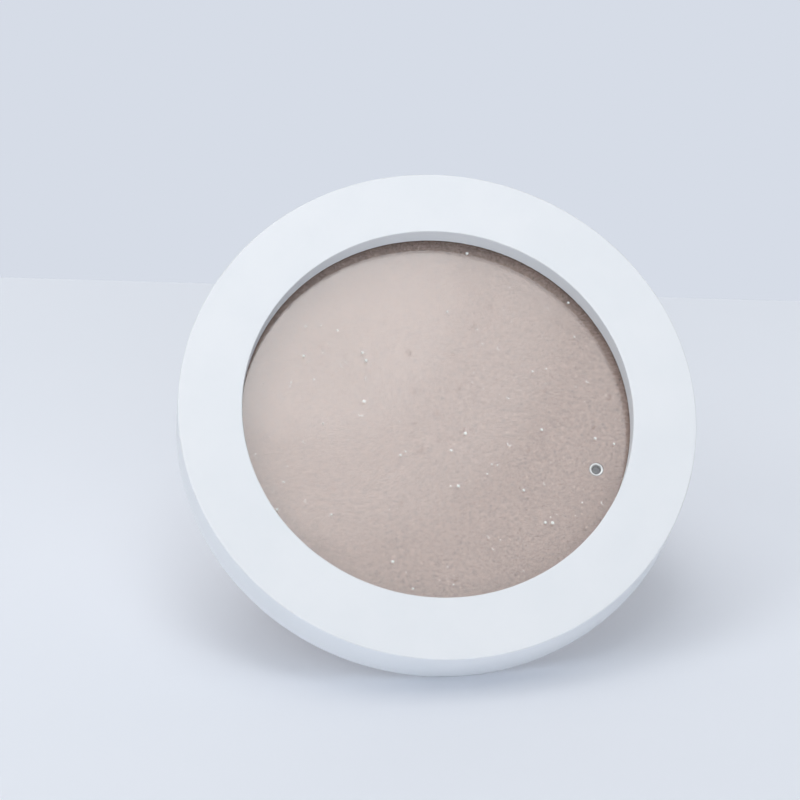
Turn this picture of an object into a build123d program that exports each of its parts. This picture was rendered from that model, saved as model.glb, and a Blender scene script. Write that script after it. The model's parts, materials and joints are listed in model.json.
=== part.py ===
from build123d import *
import math
import os

# A round photo frame that leans back on a folding leg.
#
# It is built lying flat, as on a bench: x to the right and y upward across its face, and z = 0 at the
# front of the ring. Everything behind the face has a depth, measured from z = 0 towards the back.
# At the end the whole frame is leaned back and stood on the table, which is z = 0 of the finished part.
# All sizes are in millimetres, and all angles in degrees.

# The picture that the frame holds, and the ring round it in section
picture_diameter = 140.0
lip_overlap = 3.3
lip_depth = 8.4
rebate_clearance = 0.5
ledge_width = 11.0
rim_width = 7.0
ring_thickness = 19.2
front_edge_bevel = 0.3
back_edge_bevel = 0.5

# Sheet and board, dropped in from behind against the lip
glazing_thickness = 2.0
glazing_arris = 0.2
board_thickness = 3.0

# How the frame stands: the tilt of its face from upright, and how far its leg opens from the back
lean_back = 46.0
leg_opening = 52.0

# Turn buttons, each on its own screw in the ledge behind the board
button_angles = {"upper_right": 45.0, "upper_left": 135.0, "lower_left": 225.0, "lower_right": 315.0}
button_length = 16.0
button_width = 8.0
button_thickness = 1.0
button_edge_bevel = 0.15
button_lift = 0.05
button_setback = 5.0
rib_length = 6.0
rib_width = 1.8
rib_height = 0.5
rib_bevel = 0.3
rib_from_pivot = 3.4
screw_radius = 1.2
screw_running_gap = 0.1
screw_pilot_gap = 0.05
screw_head_radius = 2.3
screw_crown_radius = 1.5
screw_head_rim = 0.6
screw_head_height = 1.3
screw_seat_gap = 0.05
screw_bite = 4.4
screw_point = 1.2
pilot_spare = 0.4

# Tubular rivets, one kind for the hanger and for the leg
rivet_radius = 2.0
rivet_bore_radius = 1.6
rivet_bore_depth = 2.2
rivet_roll_width = 0.48
rivet_roll_thickness = 0.8
rivet_roll_bevel = 0.25
rivet_hole_gap = 0.05
rivet_head_radius = 3.0
rivet_head_rim = 0.3
rivet_head_height = 0.9
roll_sink_gap = 0.05

# Hanger: a folded strap riveted to the board, with a triangular wire ring in its loop
hanger_angle = -21.4
hanger_rivet_inset = 12.8
hanger_barrel_offset = 7.0
strap_sheet = 0.6
strap_width = 8.0
strap_tail = 4.6
strap_corner_round = 2.5
strap_bend = 3.2
wire_radius = 0.7
wire_running_gap = 0.08
wire_side_gap = 0.4
triangle_reach = 11.5
triangle_corner_run = 2.1
triangle_corner_round = 1.2
triangle_tip_round = 2.0
wire_rest_gap = 0.3

# Leg and its hinge
hinge_inset = 25.0
hinge_sheet = 0.6
hinge_pitch = 4.8
knuckle_count = 5
knuckle_gap = 0.3
hinge_lift = 0.3
pin_radius = 0.7
pin_running_gap = 0.05
pin_head_radius = 1.15
pin_head_height = 0.5
pin_head_bevel = 0.25
board_leaf_reach = 12.5
leg_leaf_reach = 14.0
leaf_corner_round = 2.0
prong_width = 2.4
prong_tip_width = 0.8
prong_length = 2.2
prong_gap = 0.05
prong_places = (4.2, 9.0)
leg_thickness = 2.5
leg_top_width = 27.0
leg_foot_width = 46.0
leg_corner_round = 2.5
leg_rivet_spacing = 13.0
leg_rivet_down = 9.0
stop_gap = 0.05

# One overrun for every cut that has to pass right through
overrun = 1.0

# Radii and depths that follow from the sizes above
picture_radius = picture_diameter / 2
sight_radius = picture_radius - lip_overlap
rebate_radius = picture_radius + rebate_clearance
recess_radius = rebate_radius + ledge_width
ring_radius = recess_radius + rim_width
board_front = lip_depth + glazing_thickness
board_back = board_front + board_thickness
pivot_radius = rebate_radius + button_setback
button_front = board_back + button_lift
button_back = button_front + button_thickness
knuckle_bore = pin_radius + pin_running_gap
knuckle_radius = knuckle_bore + hinge_sheet
hinge_depth = board_back + hinge_lift + knuckle_radius
hinge_width = knuckle_count * hinge_pitch
hinge_up = picture_radius - hinge_inset
loop_bore = wire_radius + wire_running_gap
loop_radius = loop_bore + strap_sheet
hanger_rivet_reach = picture_radius - hanger_rivet_inset
barrel_reach = hanger_rivet_reach + hanger_barrel_offset
barrel_depth = board_back + loop_radius
roll_outer_radius = rivet_radius + rivet_roll_width
roll_sink = rivet_roll_thickness + roll_sink_gap

# How high things stand once the frame leans on the table
lean_sin = math.sin(math.radians(lean_back))
lean_cos = math.cos(math.radians(lean_back))
bevel_rise = back_edge_bevel * min(lean_cos, lean_sin)
stand_height = ring_radius * lean_cos + ring_thickness * lean_sin - bevel_rise
hinge_height = stand_height + hinge_up * lean_cos - hinge_depth * lean_sin
leg_kick = math.radians(leg_opening - lean_back)

# The triangle hangs straight down from its loop, turned this far out of the flat position
hanger_drop = math.degrees(math.atan2(lean_sin, -lean_cos * math.sin(math.radians(hanger_angle))))

# Folded in over the strap, its wire comes to rest on the rivet's head, this much short of lying flat
wire_over_axis = wire_radius + rivet_head_height + wire_rest_gap - (loop_radius - 2 * strap_sheet)
hanger_rest = math.degrees(math.asin(wire_over_axis / hanger_barrel_offset))


def bar(radius, near, far):
    """A round bar along z, between two depths behind the front face."""
    return Pos(0, 0, -near) * Cylinder(radius, far - near, align=(Align.CENTER, Align.CENTER, Align.MAX))


def cross_bar(radius, length):
    """A round bar along x, centred on the origin."""
    return Rot(Y=90) * Cylinder(radius, length)


def turned(lines):
    """A closed outline of (radius, z) lines, spun about the z axis."""
    return revolve(Plane.XZ * make_face(lines), Axis.Z)


def tubular_rivet(grip):
    """A rivet along z: its rolled end stands on z = 0, and its head lies against z = -grip."""
    outline = Polyline(
        (0, rivet_roll_thickness - rivet_bore_depth),
        (rivet_bore_radius, rivet_roll_thickness - rivet_bore_depth),
        (rivet_bore_radius, rivet_roll_thickness),
        (roll_outer_radius - rivet_roll_bevel, rivet_roll_thickness),
        (roll_outer_radius, rivet_roll_thickness - rivet_roll_bevel),
        (roll_outer_radius, 0),
        (rivet_radius, 0),
        (rivet_radius, -grip),
        (rivet_head_radius, -grip),
        (rivet_head_radius, -grip - rivet_head_rim),
        (rivet_bore_radius, -grip - rivet_head_height),
        (0, -grip - rivet_head_height),
        close=True,
    )
    return turned(outline)


def at_button(angle):
    """The place of a turn button's pivot, with the button's own x axis pointing away from the middle."""
    return Rot(Z=angle) * Pos(pivot_radius, 0, 0)


def frame_ring():
    """The ring in section: a lip, the rebate for sheet and board, a ledge, and a recess behind it."""
    outline = Polyline(
        (sight_radius, 0),
        (ring_radius, 0),
        (ring_radius, -ring_thickness),
        (recess_radius, -ring_thickness),
        (recess_radius, -board_back),
        (rebate_radius, -board_back),
        (rebate_radius, -lip_depth),
        (sight_radius, -lip_depth),
        close=True,
    )
    section = make_face(outline)
    front_corners = section.vertices().filter_by(lambda v: v.Y > -lip_depth / 2)
    section = chamfer(front_corners, front_edge_bevel)
    rim_middle = (ring_radius + recess_radius) / 2
    back_corner = section.vertices().filter_by(lambda v: v.X > rim_middle and v.Y < -lip_depth)
    section = chamfer(back_corner, back_edge_bevel)
    ring = revolve(Plane.XZ * section, Axis.Z)
    pilot_end = board_back - screw_bite - screw_point - pilot_spare
    for angle in button_angles.values():
        ring -= at_button(angle) * bar(screw_radius + screw_pilot_gap, pilot_end, board_back + overrun)
    return ring


def glazing_sheet():
    """The clear sheet, with its two sharp edges taken off."""
    return chamfer(bar(picture_radius, lip_depth, board_front).edges(), glazing_arris)


def backing_board():
    """The board, with the rivet's hole and the sink its rolled end lies in, and the hinge's prong slots."""
    board = bar(picture_radius, board_front, board_back)
    rivet_hole = bar(rivet_radius + rivet_hole_gap, board_front - overrun, board_back + overrun)
    sink = bar(roll_outer_radius + rivet_hole_gap, board_front - overrun, board_front + roll_sink)
    board -= at_hanger_rivet() * (rivet_hole + sink)
    slot = Box(hinge_sheet + 2 * prong_gap, prong_width + 2 * prong_gap, prong_length + prong_gap,
               align=(Align.CENTER, Align.CENTER, Align.MIN))
    for x, y in prong_centres():
        board -= at_hinge() * Pos(x, y, knuckle_radius + hinge_lift) * slot
    return board


def turn_button():
    """A flat button round its pivot, pointing along -x over the board, with a pressed rib on its back."""
    reach = button_length - button_width
    blank = Pos(-reach / 2, 0, -button_back) * SlotCenterToCenter(reach, button_width)
    button = extrude(blank, button_thickness)
    back_edges = button.edges().group_by(Axis.Z)[0]
    button = chamfer(back_edges, button_edge_bevel)
    rib_middle = -(rib_from_pivot + rib_length / 2)
    rib_foot = Pos(rib_middle, 0, -button_back) * SlotOverall(rib_length, rib_width)
    rib = extrude(rib_foot, -rib_height)
    rib = chamfer(rib.edges().group_by(Axis.Z)[0], rib_bevel)
    return button + rib - bar(screw_radius + screw_running_gap, board_back - overrun, button_back + overrun)


def button_screw():
    """A pan-headed screw through a button into the ledge, its point towards the front."""
    seat = button_back + screw_seat_gap
    point_base = board_back - screw_bite
    outline = Polyline(
        (0, -point_base + screw_point),
        (screw_radius, -point_base),
        (screw_radius, -seat),
        (screw_head_radius, -seat),
        (screw_head_radius, -seat - screw_head_rim),
        (screw_crown_radius, -seat - screw_head_height),
        (0, -seat - screw_head_height),
        close=True,
    )
    return turned(outline)


def at_hanger_rivet():
    """The hanger rivet's axis. Its own x axis points outwards, along the strap."""
    return Rot(Z=hanger_angle) * Pos(hanger_rivet_reach, 0, 0)


def at_barrel():
    """The hanger's loop axis, along its own y, with x pointing outwards."""
    return Rot(Z=hanger_angle) * Pos(barrel_reach, 0, -barrel_depth)


def hanger_strap():
    """The strap in section: a layer on the board, a loop round the wire, and back over itself."""
    under = loop_radius - strap_sheet
    over = loop_radius - 2 * strap_sheet
    tail = hanger_barrel_offset + strap_tail
    lower = Pos(-tail / 2, (loop_radius + under) / 2) * Rectangle(tail, strap_sheet)
    flat = tail - strap_bend
    upper = Pos(-strap_bend - flat / 2, (under + over) / 2) * Rectangle(flat, strap_sheet)
    bend = Vector(-strap_bend, (under + over) / 2)
    loop_middle = (loop_radius + loop_bore) / 2
    turn = math.atan2(bend.Y, bend.X) + math.acos(loop_middle / bend.length)
    tangent = Vector(loop_middle * math.cos(turn), loop_middle * math.sin(turn))
    slope = trace(Line(bend, tangent), strap_sheet)
    elbow = Pos(bend) * Circle(strap_sheet / 2)
    section = lower + upper + slope + elbow + Circle(loop_radius) - Circle(loop_bore)
    strap = extrude(Plane.XZ * section, strap_width / 2, both=True)
    tail_edges = strap.edges().filter_by(Axis.Z).group_by(Axis.X)[0]
    strap = fillet(tail_edges, strap_corner_round)
    hole = Pos(-hanger_barrel_offset, 0, 0) * Cylinder(rivet_radius + rivet_hole_gap, 2 * loop_radius + overrun)
    return strap - hole


def hanger_triangle():
    """The wire ring lying flat and pointing outwards, its straight side along y inside the loop."""
    half_base = strap_width / 2 + wire_side_gap + triangle_corner_run
    corners = ((0, -half_base), (0, half_base), (triangle_reach, 0))
    rounds = (triangle_corner_round, triangle_corner_round, triangle_tip_round)
    path = FilletPolyline(*corners, radius=rounds, close=True)
    section = Plane(path @ 0, z_dir=path % 0) * Circle(wire_radius)
    return sweep(section, path)


def hanger_rivet():
    """The rivet through strap and board, its rolled end just below the board's front."""
    grip = board_thickness - roll_sink + 2 * strap_sheet
    return at_hanger_rivet() * Pos(0, 0, -board_front - roll_sink) * tubular_rivet(grip)


def at_hinge():
    """The leg's hinge axis, along x."""
    return Pos(0, hinge_up, -hinge_depth)


def knuckle_centres(first):
    """The middles of every second knuckle, from the first or the second on."""
    return [(i - (knuckle_count - 1) / 2) * hinge_pitch for i in range(first, knuckle_count, 2)]


def prong_centres():
    """Where the board leaf's prongs go into the board, about the hinge axis."""
    side = (hinge_width - knuckle_gap - hinge_sheet) / 2
    return [(x, y) for x in (-side, side) for y in prong_places]


def hinge_leaf(first, reach, face):
    """A leaf above its pin, its plate's front at z = face: curled where it has knuckles, cut back elsewhere."""
    plate = Box(hinge_width - knuckle_gap, reach, hinge_sheet, align=(Align.CENTER, Align.MIN, Align.MAX))
    plate = fillet(plate.edges().filter_by(Axis.Z).group_by(Axis.Y)[-1], leaf_corner_round)
    leaf = Pos(0, 0, face) * plate
    for x in knuckle_centres(1 - first):
        leaf -= Pos(x, 0, 0) * cross_bar(knuckle_radius + knuckle_gap, hinge_pitch + knuckle_gap)
    for x in knuckle_centres(first):
        leaf += Pos(x, 0, 0) * cross_bar(knuckle_radius, hinge_pitch - knuckle_gap)
    return leaf - cross_bar(knuckle_bore, hinge_width + overrun)


def board_leaf():
    """The leaf on the board, with four pointed prongs turned down into it."""
    board_face = knuckle_radius + hinge_lift
    leaf = hinge_leaf(0, board_leaf_reach, board_face)
    prong = Polyline(
        (-prong_width / 2, -hinge_sheet),
        (prong_width / 2, -hinge_sheet),
        (prong_width / 2, 0),
        (prong_tip_width / 2, prong_length),
        (-prong_tip_width / 2, prong_length),
        (-prong_width / 2, 0),
        close=True,
    )
    tooth = extrude(Plane.YZ * make_face(prong), hinge_sheet / 2, both=True)
    for x, y in prong_centres():
        leaf += Pos(x, y, board_face) * tooth
    return leaf


def leg_rivet_centres():
    """Where the leg's two rivets go, about the hinge axis."""
    return [(x, -leg_rivet_down) for x in (-leg_rivet_spacing / 2, leg_rivet_spacing / 2)]


def leg_leaf():
    """The leg's leaf, hanging below the pin on the side away from the board, with two rivet holes."""
    leaf = Rot(X=180) * hinge_leaf(1, leg_leaf_reach, knuckle_radius)
    for x, y in leg_rivet_centres():
        leaf -= Pos(x, y, 0) * Cylinder(rivet_radius + rivet_hole_gap, 2 * knuckle_radius + overrun)
    return leaf


def leg_rivets():
    """Two rivets through leaf and leg, rolled over on the leaf, with their heads let into the leg."""
    grip = hinge_sheet + leg_thickness - rivet_head_height
    rivet = Pos(0, 0, hinge_sheet - knuckle_radius) * tubular_rivet(grip)
    return [Pos(x, y, 0) * rivet for x, y in leg_rivet_centres()]


def leg_top(offset):
    """How far above the hinge axis the leg ends, at an offset behind the axis.

    The slope lies flat against the board leaf when the leg is open, and that is the leg's stop.
    """
    opening = math.radians(leg_opening)
    leaf_face = knuckle_radius + hinge_lift - hinge_sheet - stop_gap
    return (leaf_face + offset * math.cos(opening)) / math.sin(opening)


def leg_foot(offset):
    """How far below the hinge axis the leg ends, so that its foot lies flat on the table when it is open."""
    return (hinge_height + offset * math.sin(leg_kick)) / math.cos(leg_kick)


def easel_leg():
    """The leg folded down along the board: its side view and its tapered front view, met in one solid."""
    near = knuckle_radius
    far = knuckle_radius + leg_thickness
    side = Polyline(
        (leg_top(near), -near),
        (leg_top(far), -far),
        (-leg_foot(far), -far),
        (-leg_foot(near), -near),
        close=True,
    )
    slab = extrude(Plane.YZ * make_face(side), leg_foot_width, both=True)
    top = leg_top(far)
    bottom = -leg_foot(far)
    taper = Polyline(
        (-leg_top_width / 2, top),
        (leg_top_width / 2, top),
        (leg_foot_width / 2, bottom),
        (-leg_foot_width / 2, bottom),
        close=True,
    )
    front = make_face(taper)
    front = fillet(front.vertices(), leg_corner_round)
    blank = extrude(Pos(0, 0, -far - overrun) * front, leg_thickness + 2 * overrun)
    leg = slab & blank
    leg -= cross_bar(knuckle_radius + knuckle_gap, leg_foot_width)
    hole = Cylinder(rivet_radius + rivet_hole_gap, 2 * far + overrun)
    head_sink = Pos(0, 0, -far) * Cylinder(rivet_head_radius + rivet_hole_gap, 2 * rivet_head_height)
    for x, y in leg_rivet_centres():
        leg -= Pos(x, y, 0) * (hole + head_sink)
    return leg


def hinge_pin():
    """The pin, with a low head at each end outside the last knuckles."""
    inner = hinge_width / 2
    outer = inner + pin_head_height
    outline = Polyline(
        (0, -outer),
        (pin_head_radius - pin_head_bevel, -outer),
        (pin_head_radius, pin_head_bevel - outer),
        (pin_head_radius, -inner),
        (pin_radius, -inner),
        (pin_radius, inner),
        (pin_head_radius, inner),
        (pin_head_radius, outer - pin_head_bevel),
        (pin_head_radius - pin_head_bevel, outer),
        (0, outer),
        close=True,
    )
    return Rot(Y=90) * turned(outline)


def flat_pieces():
    """Every piece by name, with the frame still lying flat but its leg open and its triangle hanging."""
    at_leg = at_hinge() * Rot(X=leg_opening)
    pieces = {
        "frame_ring": frame_ring(),
        "glazing_sheet": glazing_sheet(),
        "backing_board": backing_board(),
        "button_screws": Compound([at_button(a) * button_screw() for a in button_angles.values()]),
        "hanger_strap": at_barrel() * hanger_strap(),
        "hanger_triangle": at_barrel() * Rot(Y=hanger_drop) * hanger_triangle(),
        "hanger_rivet": hanger_rivet(),
        "easel_leg": at_leg * easel_leg(),
        "hinge_board_leaf": at_hinge() * board_leaf(),
        "hinge_leg_leaf": at_leg * leg_leaf(),
        "hinge_pin": at_hinge() * hinge_pin(),
        "leg_rivets": Compound([at_leg * rivet for rivet in leg_rivets()]),
    }
    for name, angle in button_angles.items():
        pieces["turn_button_" + name] = at_button(angle) * turn_button()
    return pieces


# Lean the frame back, stand it on the table, and put the middle of its floor rectangle at the origin
pieces = flat_pieces()
upright = Pos(0, 0, stand_height) * Rot(X=90 - lean_back)
box = Compound([upright * piece for piece in pieces.values()]).bounding_box()
stand = Pos(-box.center().X, -box.center().Y, 0) * upright

os.makedirs("parts", exist_ok=True)
for name, piece in pieces.items():
    export_step(stand * piece, "parts/" + name + ".step")


def place(spot):
    """The position of a spot, from its place on the flat frame."""
    return [round(value, 3) for value in (stand * spot).position]


def direction(spot, axis):
    """The direction of a spot's own axis once the frame stands."""
    turn = Plane(stand * spot)
    return [round(value, 5) for value in {"x": turn.x_dir, "y": turn.y_dir, "z": turn.z_dir}[axis]]


# The places and directions of the moving joints, for the record
print("box", [round(value, 3) for value in box.size], "moved", round(-box.center().Y, 3))
print("hinge of the leg", place(at_hinge()), "opens to", leg_opening)
print("loop of the hanger", place(at_barrel()), direction(at_barrel(), "y"))
print("triangle swings from", round(-hanger_drop, 2), "to", round(180 - hanger_rest - hanger_drop, 2))
for name, angle in button_angles.items():
    spot = at_button(angle) * Pos(0, 0, -button_front)
    print("turn button", name, place(spot), direction(spot, "z"))
print("middle of the ring's front", place(Pos(0, 0, 0)), "of its back", place(Pos(0, 0, -ring_thickness)))
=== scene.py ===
# %% [markdown]
# # A round photo frame leaning on a table
#
# The real object is a ring turned from fibreboard and sprayed satin white. Behind its lip lie a clear
# sheet and a round of bare reddish fibreboard. Four small turn buttons hold them in, a riveted leg
# folds out of the back, and a wire triangle hangs from a riveted strap for the wall.
#
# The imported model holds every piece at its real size, so it is loaded first and stays as it is. Each
# step below gives one of its pieces a finish, or stands a finer surface of the same size in its place.

# %% Load the fixed frame
import json
import math

import bmesh
import bpy
import numpy as np
from mathutils import Matrix, Vector


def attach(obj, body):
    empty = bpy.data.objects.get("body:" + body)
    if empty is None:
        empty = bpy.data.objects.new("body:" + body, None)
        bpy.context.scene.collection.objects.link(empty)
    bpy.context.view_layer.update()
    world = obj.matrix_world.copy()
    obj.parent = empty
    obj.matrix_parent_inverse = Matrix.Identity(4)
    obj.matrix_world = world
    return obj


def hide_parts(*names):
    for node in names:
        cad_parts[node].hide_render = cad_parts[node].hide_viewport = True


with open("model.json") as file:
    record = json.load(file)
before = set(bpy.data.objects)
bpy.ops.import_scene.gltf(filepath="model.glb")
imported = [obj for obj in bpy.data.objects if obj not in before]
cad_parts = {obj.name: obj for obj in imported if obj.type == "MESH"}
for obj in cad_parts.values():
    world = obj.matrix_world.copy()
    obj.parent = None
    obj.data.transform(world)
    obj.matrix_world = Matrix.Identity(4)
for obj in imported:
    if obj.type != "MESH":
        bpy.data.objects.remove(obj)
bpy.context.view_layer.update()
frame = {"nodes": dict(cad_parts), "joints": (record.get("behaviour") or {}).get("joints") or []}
mm = 0.001

# %% [markdown]
# ## The ring's own coordinates
#
# The ring leans back, so its outline is awkward to write in table coordinates. It is easier to work as
# if it still lay flat on the bench: x to the right, y up its face, and z out of its front, with zero in
# the middle of the front face. The turn buttons' pins all stand square to the face, so the direction of
# one of their joints is the ring's axis, and the middle of the four pins lies on it.

# %% Find the ring's axis and middle
joints = {joint["name"]: joint for joint in frame["joints"]}
ring_axis = np.array(joints["upper_right_turn"]["axis"], float)
ring_axis /= np.linalg.norm(ring_axis)
across = np.array([1.0, 0.0, 0.0])
up_the_face = np.cross(ring_axis, across)
flat_axes = np.column_stack([across, up_the_face, ring_axis])


def read_rows(items, label):
    """One vector of every vertex or face of a mesh, as rows of x, y, z."""
    values = np.empty(3 * len(items))
    items.foreach_get(label, values)
    return values.reshape(-1, 3)


def node_points(name):
    """All vertices of a CAD node, in table coordinates."""
    return read_rows(frame["nodes"][name].data.vertices, "co")


on_axis = np.mean([joint["pos_m"] for name, joint in joints.items() if name.endswith("_turn")], axis=0)
front_level = (node_points("frame_ring") @ ring_axis).max()
middle = on_axis + (front_level - on_axis @ ring_axis) * ring_axis
print("middle of the face, mm:", np.round(middle / mm, 2), "leaning back", end=" ")
print(round(math.degrees(math.asin(ring_axis[2])), 2), "degrees from upright")

# %% [markdown]
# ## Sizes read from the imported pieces
#
# Every new surface has to match the piece that it stands for. Its sizes are therefore read from the CAD
# nodes in the flat coordinates, and only what the solids don't carry, such as the softness of a painted
# edge, is chosen here.

# %% Read the sizes in flat coordinates
def to_flat(points):
    """Table coordinates to the flat ring's coordinates."""
    return (np.asarray(points) - middle) @ flat_axes


def to_table(points):
    """The flat ring's coordinates to table coordinates."""
    return middle + np.asarray(points) @ flat_axes.T


def radii_of(points):
    """How far flat points lie from the ring's axis."""
    return np.hypot(points[:, 0], points[:, 1])


tight = 0.01 * mm
ring = to_flat(node_points("frame_ring"))
sheet = to_flat(node_points("glazing_sheet"))
board = to_flat(node_points("backing_board"))
ring_radius = radii_of(ring).max()
sight_radius = radii_of(ring).min()
ring_back = ring[:, 2].min()
lip_back = sheet[:, 2].max()
sheet_back = sheet[:, 2].min()
sheet_radius = radii_of(sheet).max()
board_back = board[:, 2].min()
rebate_radius = radii_of(ring[abs(ring[:, 2] - lip_back) < tight]).max()
recess_radius = radii_of(ring[abs(ring[:, 2] - ring_back) < tight]).min()
for label, value in (("ring", ring_radius), ("opening", sight_radius), ("sheet", sheet_radius),
                     ("rebate", rebate_radius), ("recess", recess_radius)):
    print(label, "diameter, mm:", round(2 * value / mm, 2))
print("depths, mm:", [round(value / mm, 2) for value in (lip_back, sheet_back, board_back, ring_back)])

# %% [markdown]
# ## The camera
#
# The photograph looks down on the frame from its left, with a long lens, so the ring's outline is
# almost a true ellipse. The lens is given by the picture's own measure, pixels per unit of slope, and
# the camera is set back along its line of sight until the middle of the face lands on its pixel.

# %% Place the camera
picture_side_px = 800
focal_px = 3600.0
face_middle_px = (438.76, 410.61)
camera_azimuth = math.radians(-7.47)
camera_elevation = math.radians(24.51)
camera_distance = 1221.32 * mm

sin_a, cos_a = math.sin(camera_azimuth), math.cos(camera_azimuth)
sin_e, cos_e = math.sin(camera_elevation), math.cos(camera_elevation)
towards_camera = Vector((sin_a * cos_e, -cos_a * cos_e, sin_e))
camera_right = Vector((cos_a, sin_a, 0))
camera_up = towards_camera.cross(camera_right)
shift_px = [value - picture_side_px / 2 for value in face_middle_px]
camera_place = Vector(middle) + camera_distance * (
    towards_camera - camera_right * (shift_px[0] / focal_px) + camera_up * (shift_px[1] / focal_px)
)

camera_data = bpy.data.cameras.new("camera")
camera_data.sensor_width = 36
camera_data.lens = camera_data.sensor_width * focal_px / picture_side_px
camera = bpy.data.objects.new("camera", camera_data)
scene = bpy.context.scene
scene.collection.objects.link(camera)
turned = Matrix((camera_right, camera_up, towards_camera)).transposed().to_4x4()
camera.matrix_world = Matrix.Translation(camera_place) @ turned
scene.camera = camera
print("lens, mm:", camera_data.lens, "camera at, mm:", [round(v / mm) for v in camera_place])

# %% [markdown]
# ## Grids of points become meshes
#
# Every new piece is a grid of points: rows go round or along it, and columns follow its outline. One
# helper turns such a grid into faces. Points that fall together, as where a turned piece meets its own
# axis, are merged, and the faces are turned outwards.

# %% Make a mesh from a grid
def mesh_from_grids(name, grids, edge=None, smooth=True, painted_shade=None):
    """One mesh from grids of rows x columns x 3, in table coordinates.

    A face is the square between two neighbouring rows and two neighbouring columns. The last row joins
    the first. The last column doesn't, so an outline that closes repeats its first point. The optional
    edge values, and the values of painted shade that darken a finish's colour in corners and hollows,
    one for each column, are kept on the points for the finishes to read.
    """
    points, faces = [], []
    marks = {"edge": [], "painted_shade": []}
    for grid in grids:
        rows, columns = grid.shape[:2]
        index = np.arange(rows * columns).reshape(rows, columns) + sum(len(part) for part in points)
        beyond = np.roll(index, -1, axis=0)
        squares = np.stack([index[:, :-1], index[:, 1:], beyond[:, 1:], beyond[:, :-1]], axis=-1)
        points.append(grid.reshape(-1, 3))
        faces.append(squares.reshape(-1, 4))
        for mark, values in (("edge", edge), ("painted_shade", painted_shade)):
            marks[mark].append(np.tile(np.zeros(columns) if values is None else values, rows))
    mesh = bpy.data.meshes.new(name)
    mesh.from_pydata(np.concatenate(points), [], np.concatenate(faces).tolist())
    for mark, values in marks.items():
        mesh.attributes.new(mark, "FLOAT", "POINT").data.foreach_set("value", np.concatenate(values))
    work = bmesh.new()
    work.from_mesh(mesh)
    bmesh.ops.remove_doubles(work, verts=work.verts, dist=1e-7)
    bmesh.ops.dissolve_degenerate(work, edges=work.edges, dist=1e-8)
    bmesh.ops.recalc_face_normals(work, faces=work.faces)
    work.to_mesh(mesh)
    work.free()
    if smooth:
        mesh.shade_smooth()
    mesh.update()
    return mesh


def add_piece(mesh, material, body, slot, *stands_for):
    """A finished piece, named as its mesh, that moves with a body and stands for the named CAD nodes."""
    piece = bpy.data.objects.new(mesh.name, mesh)
    scene.collection.objects.link(piece)
    mesh.materials.append(material)
    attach(piece, body)
    if stands_for:
        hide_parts(*stands_for)
    print(piece.name, "faces:", len(mesh.polygons), "rides on", body)
    return piece


# %% [markdown]
# ## Outlines with soft corners
#
# No real edge is perfectly sharp, and the thin bright or dark line along an edge is what makes it look
# made. An outline is written as its corners and how far each is rounded. Beside each arc goes one more
# point, a hair away on the straight run: it keeps the smooth shading of the arc off the flat faces.

# %% Round an outline and spin it
def unit(vector):
    """The same direction with length one."""
    return vector / np.linalg.norm(vector)


def smooth_step(value):
    """0 below zero, 1 above one, and 3 v v - 2 v v v between."""
    value = np.clip(value, 0, 1)
    return value * value * (3 - 2 * value)


def rounded(corners, steps=5, hold=0.06 * mm):
    """A closed outline of corners (x, y, rounding), and how much of an edge each of its points is.

    With half the corner's angle called h, an arc of radius r leaves each run at r / tan h from the
    corner, and its centre is r / sin h away. The arc's points turn evenly from one run to the other.
    """
    places, rounds = np.split(np.asarray(corners, float), [2], axis=1)
    neighbours = np.roll(places, 1, axis=0), np.roll(places, -1, axis=0)
    outline, edge = [], []
    for corner, before, after, radius in zip(places, *neighbours, rounds[:, 0]):
        back, ahead = unit(before - corner), unit(after - corner)
        half = np.arccos(np.clip(back @ ahead, -1, 1)) / 2
        run = radius / math.tan(half)
        centre = corner + unit(back + ahead) * radius / math.sin(half)
        first, last = corner + back * run - centre, corner + ahead * run - centre
        sweep = math.pi - 2 * half
        turn = np.linspace(0, 1, steps + 1)[:, None]
        swing = np.sin((1 - turn) * sweep) * first + np.sin(turn * sweep) * last
        arc = centre + swing / math.sin(sweep)
        outline += [corner + back * (run + hold), *arc, corner + ahead * (run + hold)]
        edge += [0.0, *np.sin(np.linspace(0, math.pi, steps + 1)), 0.0]
    return np.array(outline + outline[:1]), np.array(edge + edge[:1])


def lathe(outline, segments):
    """Spins an outline of (radius, height): x = radius cos a, y = radius sin a, z = height."""
    angle = np.linspace(0, 2 * math.pi, segments, endpoint=False)[:, None]
    radius, height = np.asarray(outline, float).T
    return np.stack([radius * np.cos(angle), radius * np.sin(angle), height + 0 * angle], axis=-1)


def open_outline(corners):
    """A rounded outline from axis to axis. Each corner is (radius, height, rounding)."""
    outline, edge = rounded(corners, hold=0.02 * mm)
    return outline[1:-2], edge[1:-2]


def put(grid, place, own_axes):
    """Moves a grid from a piece's own x, y, z, the columns of own_axes, to its place on the table."""
    return np.asarray(place) + grid @ own_axes.T


triangle = [(0, 0, 0.4 * mm), (1, 0, 0.4 * mm), (0, 1, 0.4 * mm)]
print("a triangle with rounded corners has", len(rounded(triangle)[0]), "points")

# %% [markdown]
# ## Helpers for finishes
#
# A finish is a small network of nodes. These helpers keep each network readable: one makes a node and
# sets its sockets, where another node's output is simply passed in as the value, one starts a material
# with the place on which its patterns lie, and one ends it with a shader.

# %% Short ways to write a node network
def add_node(tree, kind, settings=None, **sockets):
    """A node of one kind. Values are set on its sockets, and outputs of other nodes are linked to them.

    A socket is named by its label with _ for each space, or by s and its number where labels repeat.
    """
    made = tree.nodes.new(kind)
    for key, value in (settings or {}).items():
        setattr(made, key, value)
    for key, value in sockets.items():
        numbered = key[0] == "s" and key[1:].isdigit()
        socket = made.inputs[int(key[1:]) if numbered else key.replace("_", " ")]
        if isinstance(value, bpy.types.NodeSocket):
            tree.links.new(value, socket)
        else:
            socket.default_value = value
    return made


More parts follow.
